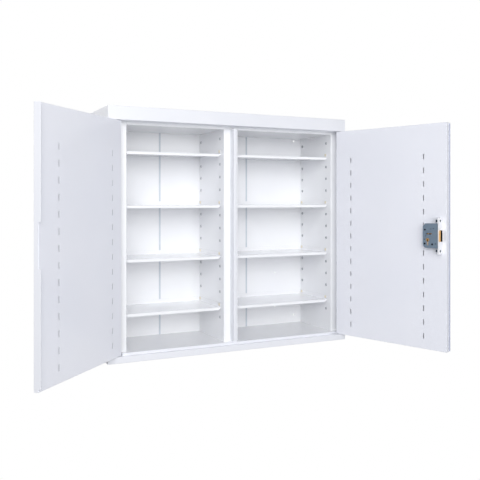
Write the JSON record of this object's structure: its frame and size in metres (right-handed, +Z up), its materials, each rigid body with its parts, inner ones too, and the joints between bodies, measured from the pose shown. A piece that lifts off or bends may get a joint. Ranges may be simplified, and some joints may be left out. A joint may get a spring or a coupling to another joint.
{
  "type": "medicine cabinet",
  "caption": "Wall-hung steel medicine cabinet with two hinged slotted doors, a centre divider, pegged adjustable shelves and a lever lock whose bolt shoots into a strike post.",
  "frame": {"origin": "centre of the four wall fixing holes, on the wall plane", "axes": "+Z up, +Y into the wall, +X to the right for someone facing the cabinet"},
  "size_m": [1.447, 0.7563, 0.912],
  "materials": {
    "white_coat": "smooth powder coat",
    "cream_nylon": "moulded",
    "zinc_steel": "zinc plated",
    "dark_steel": "blackened",
    "slate_enamel": "satin enamel",
    "brass": "machined",
    "nickel_plate": "satin nickel"
  },
  "bodies": {
    "cabinet": {"top_tray": "white_coat", "bottom_tray": "white_coat", "left_side": "white_coat", "right_side": "white_coat", "back_panel_left": "white_coat", "back_panel_centre": "white_coat", "back_panel_right": "white_coat", "back_straps": "white_coat", "fixing_washers": "zinc_steel", "inner_ceiling": "white_coat", "inner_floor": "white_coat", "left_inner_wall": "white_coat", "right_inner_wall": "white_coat", "divider": "white_coat", "strike_channel": "white_coat", "shelf_pegs": "cream_nylon", "top_hinge_plates": "white_coat", "bottom_hinge_plates": "white_coat", "top_hinge_pins": "zinc_steel", "bottom_hinge_pins": "zinc_steel", "left_shelf_1": "white_coat", "right_shelf_1": "white_coat", "left_shelf_2": "white_coat", "right_shelf_2": "white_coat", "left_shelf_3": "white_coat", "right_shelf_3": "white_coat", "left_shelf_4": "white_coat", "right_shelf_4": "white_coat"},
    "left_door": {"left_door_skin": "white_coat", "left_door_panel": "white_coat", "left_door_rib": "white_coat", "left_door_bushes": "cream_nylon", "left_meeting_strips": "white_coat"},
    "right_door": {"right_door_skin": "white_coat", "right_door_panel": "white_coat", "right_door_rib": "white_coat", "right_door_bushes": "cream_nylon", "right_door_astragal": "white_coat", "keyhole_escutcheon": "nickel_plate", "lock_bracket": "white_coat", "lock_forend": "nickel_plate", "lock_forend_screws": "dark_steel", "lock_forend_nuts": "dark_steel", "lock_case": "slate_enamel", "lock_cap": "slate_enamel", "lock_cap_screws": "dark_steel", "lock_lever_post": "zinc_steel"},
    "lock_bolt": {"lock_bolt": "brass"},
    "lock_curtain": {"lock_curtain": "brass"},
    "lock_levers": {"lock_levers": "brass", "lock_lever_spring": "zinc_steel"}
  },
  "joints": [
    {"name": "left_door_hinge", "type": "hinge", "parent": "cabinet", "child": "left_door", "pos_m": [-0.495, -0.294, 0], "axis": [0, 0, -1], "range_deg": [-134.4, 5.6]},
    {"name": "right_door_hinge", "type": "hinge", "parent": "cabinet", "child": "right_door", "pos_m": [0.459, -0.294, 0], "axis": [0, 0, 1], "range_deg": [-108.5, 31.5]},
    {"name": "lock_bolt_slide", "type": "slide", "parent": "right_door", "child": "lock_bolt", "axis": [0.3173, -0.9483, 0], "range_m": [-0.004, 0.0125]},
    {"name": "lock_curtain_turn", "type": "hinge", "parent": "right_door", "child": "lock_curtain", "pos_m": [0.56963, -0.69966, -0.02025], "axis": [-0.9483, -0.3173, 0], "range_deg": [-65.95, 205.04]},
    {"name": "lock_lever_lift", "type": "hinge", "parent": "right_door", "child": "lock_levers", "pos_m": [0.57408, -0.71293, 0.01375], "axis": [0.9483, 0.3173, 0], "range_deg": [0, 5], "stiffness_Nm_per_rad": 0.02}
  ],
  "couplings": [
    {"joint": "lock_curtain_turn", "follows": "lock_bolt_slide", "rad_per_m": 285.6}
  ]
}
